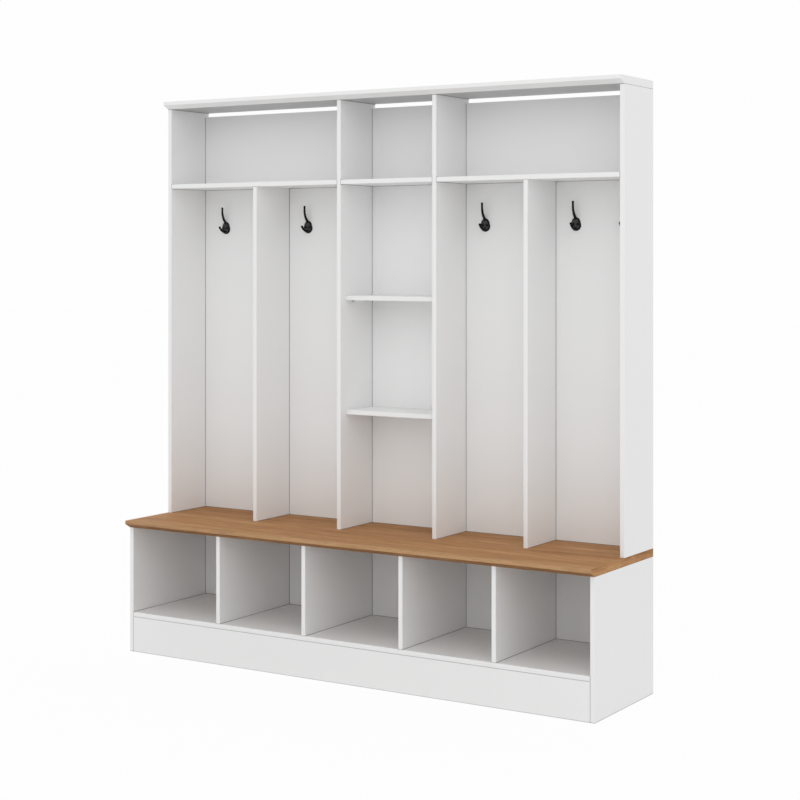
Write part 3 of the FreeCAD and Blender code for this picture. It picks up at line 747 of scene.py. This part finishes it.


# Painted shade in the joints between boards, drawn as thin dark lines
def joint_lines():
    """Lines of painted shade in the corners of the bays and cells, and on the faces where board
    ends meet.
    """
    places, extents = [], []
    half, thin, rise = CORNER_LINE / 2, FACE_LINE / 2, LINE_RISE

    def bar(low, high):
        low, high = Vector(low), Vector(high)
        places.append((low + high) / 2)
        extents.append(high - low)

    def upright_line(x, y, low, high):
        bar((x - half, y - half, low), (x + half, y + half, high))

    def level_line(left, right, y, z):
        bar((left, y - half, z - half), (right, y + half, z + half))

    def depth_line(x, front, rear, z):
        bar((x - half, front, z - half), (x + half, rear, z + half))

    def upright_face_line(x, front, low, high):
        bar((x - thin, front - rise, low), (x + thin, front + rise, high))

    def level_face_line(left, right, front, z):
        bar((left, front - rise, z - thin), (right, front + rise, z + thin))

    # Coat bays and cubbies
    for bay in range(BAY_COUNT):
        left, right = hutch[bay][1].x, hutch[bay + 1][0].x
        for x in (left, right):
            upright_line(x, back_low.y, seat_high.z, shelf_low.z)
            depth_line(x, hutch[bay][0].y + rise, back_low.y, seat_high.z)
        level_line(left, right, back_low.y, shelf_low.z)
        level_line(left, right, back_low.y, seat_high.z)
        left, right = bench[bay][1].x, bench[bay + 1][0].x
        for x in (left, right):
            upright_line(x, bench_back_low.y, deck_high.z, seat_low.z)
            depth_line(x, bench[bay][0].y + rise, bench_back_low.y, deck_high.z)
            depth_line(x, bench[bay][0].y + rise, bench_back_low.y, seat_low.z)
        level_line(left, right, bench_back_low.y, deck_high.z)
        level_line(left, right, bench_back_low.y, seat_low.z)

    # Top cells, between the uprights that reach the top board
    full = [hutch[index] for index in (0, CENTRE_BAY, CENTRE_BAY + 1, BAY_COUNT)]
    front = hutch[0][0].y + rise
    for first, second in zip(full, full[1:]):
        left, right = first[1].x, second[0].x
        for x in (left, right):
            upright_line(x, back_low.y, shelf_high.z, back_high.z)
            depth_line(x, front, back_low.y, shelf_low.z)
            depth_line(x, front, back_low.y, shelf_high.z)
            depth_line(x, front, hutch[0][1].y, top_low.z)
            upright_face_line(x, shelf_low.y, shelf_low.z, shelf_high.z)
        level_line(left, right, back_low.y, shelf_high.z)

    # Front faces: ends of the uprights, kick board and deck
    for index in (1, BAY_COUNT - 1):
        low, high = hutch[index]
        level_face_line(low.x, high.x, low.y, high.z)
    for low, high in full:
        level_face_line(low.x + rise, high.x - rise, low.y, top_low.z)
    for x in (bench[0][1].x, bench[-1][0].x):
        upright_face_line(x, kick_low.y, kick_low.z, kick_high.z)
        upright_face_line(x, kick_low.y, deck_low.z, deck_high.z)
    for low, high in bench[1:-1]:
        level_face_line(low.x, high.x, kick_low.y, deck_high.z)

    base = points_object("joint_points", places, extents, "extent")
    lines = grown("joint_lines", joint_bars, base, {"Finish": FINISHES["joint_shadow"]})
    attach(lines, "carcass")


def kick_gap_strip():
    """A grey strip of painted shade with eased front edges, in the narrow gap over the kick board.
    """
    front, rear = kick_low.y + STRIP_FRONT, kick_low.y + STRIP_REAR
    low, high = kick_high.z, deck_low.z
    section = (
        (front, low + STRIP_EASE), (front, high - STRIP_EASE), (front + STRIP_EASE, high),
        (rear, high), (rear, low), (front + STRIP_EASE, low),
    )
    ends = (bench[0][1].x, bench[-1][0].x)
    mesh = bmesh.new()
    loft(mesh, [[Vector((x, y, z)) for y, z in section] for x in ends])
    bmesh.ops.recalc_face_normals(mesh, faces=mesh.faces)
    data = finished_mesh(mesh, "kick_gap_strip")
    data.materials.append(FINISHES["kick_gap"])
    strip = show("kick_gap_strip", data)
    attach(strip, "carcass")


coat_hooks()
visible_hardware()
joint_lines()
kick_gap_strip()


# Floor, light and camera
def background_ray(wire):
    """1 for the rays that show the background: straight, mirrored or seen through."""
    straight = wire.node("ShaderNodeLightPath", output="Is Camera Ray")
    rays = straight.socket.node.outputs
    mirrored = Wire(wire.tree, rays["Is Glossy Ray"])
    through = Wire(wire.tree, rays["Is Transmission Ray"])
    return wire.math("MAXIMUM", wire.math("MAXIMUM", straight, mirrored), through)


def floor():
    """A pale floor that meets the white background and keeps a faint shadow."""
    material, wire = new_finish("pale_floor")
    seen = background_ray(wire)
    matte = wire.node("ShaderNodeBsdfDiffuse", {}, {"Color": grey(FLOOR_PALE)})
    glow = wire.node("ShaderNodeEmission", {}, {"Color": grey(1), "Strength": 1.0})
    sockets = {0: seen * FLOOR_GLOW_SHARE, 1: matte, 2: glow}
    shaded = wire.node("ShaderNodeMixShader", {}, sockets)
    wire.node("ShaderNodeOutputMaterial", {}, {"Surface": shaded})
    mesh = bpy.data.meshes.new("floor")
    signs = ((-1, -1), (1, -1), (1, 1), (-1, 1))
    corners = [(x * FLOOR_REACH, y * FLOOR_REACH, 0) for x, y in signs]
    mesh.from_pydata(corners, [], [(0, 1, 2, 3)])
    mesh.materials.append(material)
    show("floor", mesh)


def studio_light():
    """An even white surround and one broad soft lamp, high in front on the right."""
    world = bpy.data.worlds.new("studio")
    world.use_nodes = True
    world.node_tree.nodes.clear()
    wire = Wire(world.node_tree)
    strength = SURROUND_LIGHT + background_ray(wire) * (BACKGROUND_WHITE - SURROUND_LIGHT)
    surround = wire.node("ShaderNodeBackground", {}, {"Color": grey(1), "Strength": strength})
    wire.node("ShaderNodeOutputWorld", {}, {"Surface": surround})
    scene.world = world
    data = bpy.data.lights.new("soft_lamp", "AREA")
    data.shape = "SQUARE"
    data.size = LAMP_SIZE
    data.energy = LAMP_WATTS
    lamp = bpy.data.objects.new("soft_lamp", data)
    lamp.location = LAMP_PLACE
    aim = Vector(LAMP_AIM) - lamp.location
    lamp.rotation_euler = aim.to_track_quat("-Z", "Y").to_euler()
    scene.collection.objects.link(lamp)


def photo_camera():
    """The photo's own view: a level camera, shifted down so that uprights stay upright."""
    data = bpy.data.cameras.new("camera")
    data.sensor_width = SENSOR_WIDTH
    data.lens = LENS
    data.shift_y = LENS_SHIFT
    camera = bpy.data.objects.new("camera", data)
    camera.location = CAMERA_PLACE
    camera.rotation_euler = (math.pi / 2, 0, CAMERA_TURN)
    scene.collection.objects.link(camera)
    scene.camera = camera


floor()
studio_light()
photo_camera()
scene.view_settings.view_transform = "Standard"
